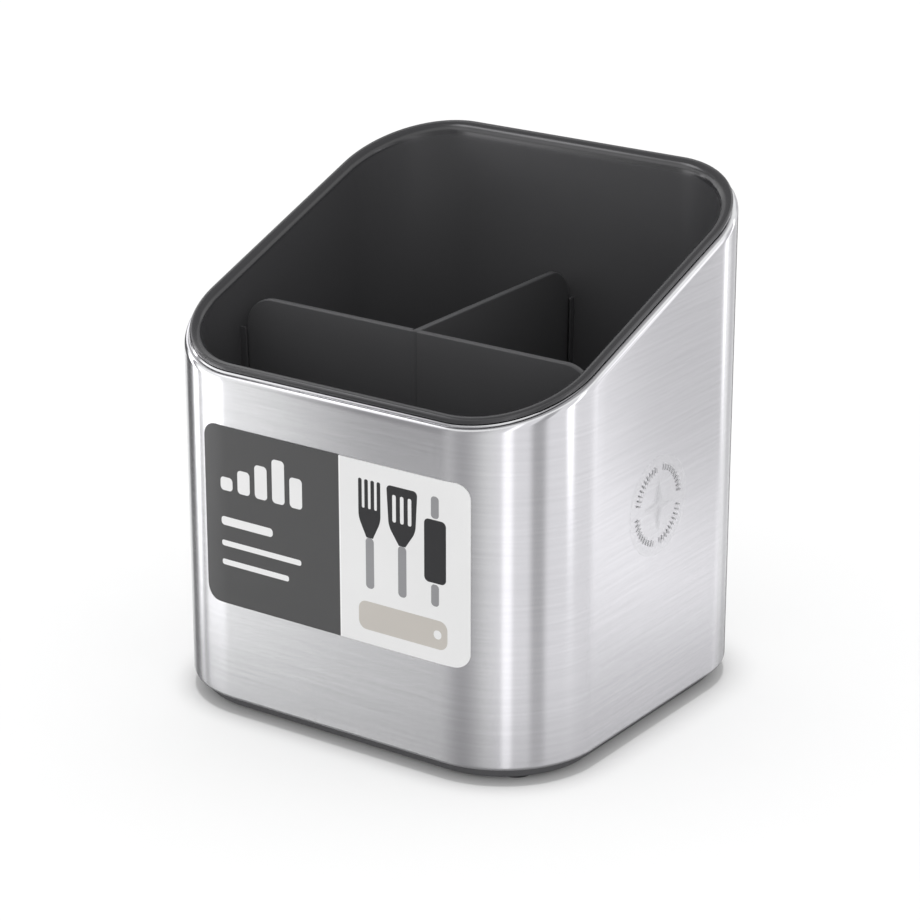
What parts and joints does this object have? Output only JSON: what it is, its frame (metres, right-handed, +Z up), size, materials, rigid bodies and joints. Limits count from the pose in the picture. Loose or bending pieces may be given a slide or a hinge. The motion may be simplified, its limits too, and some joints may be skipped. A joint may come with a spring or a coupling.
{
  "type": "utensil holder",
  "caption": "Slant-topped utensil pot: brushed steel sleeve on a plastic base, with a lift-out plastic bucket split by removable dividers.",
  "frame": {"origin": "on the table, under the middle of the steel sleeve", "axes": "+X to the right as seen from the label side, +Y to the tall back, +Z up"},
  "size_m": [0.1353, 0.1253, 0.1512],
  "materials": {
    "brushed_steel": "stainless sheet, brushed along the horizontal",
    "base_plastic": "dark grey, matt moulded",
    "foot_rubber": "dark, matt",
    "liner_plastic": "dark grey, satin moulded",
    "divider_plastic": "dark grey, satin moulded",
    "label_film": "printed in a dark and a pale panel, satin coated",
    "sticker_film": "frosted film with pale print"
  },
  "bodies": {
    "shell": {"outer_sleeve": "brushed_steel", "base_tray": "base_plastic", "foot_front_left": "foot_rubber", "foot_front_right": "foot_rubber", "foot_rear_left": "foot_rubber", "foot_rear_right": "foot_rubber", "front_label": "label_film", "side_sticker": "sticker_film"},
    "bucket": {"inner_bucket": "liner_plastic"},
    "cross_panel": {"cross_divider": "divider_plastic"},
    "rear_panel": {"rear_divider": "divider_plastic"}
  },
  "joints": [
    {"name": "bucket_lift", "type": "slide", "parent": "shell", "child": "bucket", "axis": [0, 0, 1], "range_m": [0, 0.15]},
    {"name": "cross_divider_lift", "type": "slide", "parent": "bucket", "child": "cross_panel", "axis": [0, 0, 1], "range_m": [0, 0.15]},
    {"name": "rear_divider_lift", "type": "slide", "parent": "cross_panel", "child": "rear_panel", "axis": [0, 0, 1], "range_m": [0, 0.15]}
  ]
}
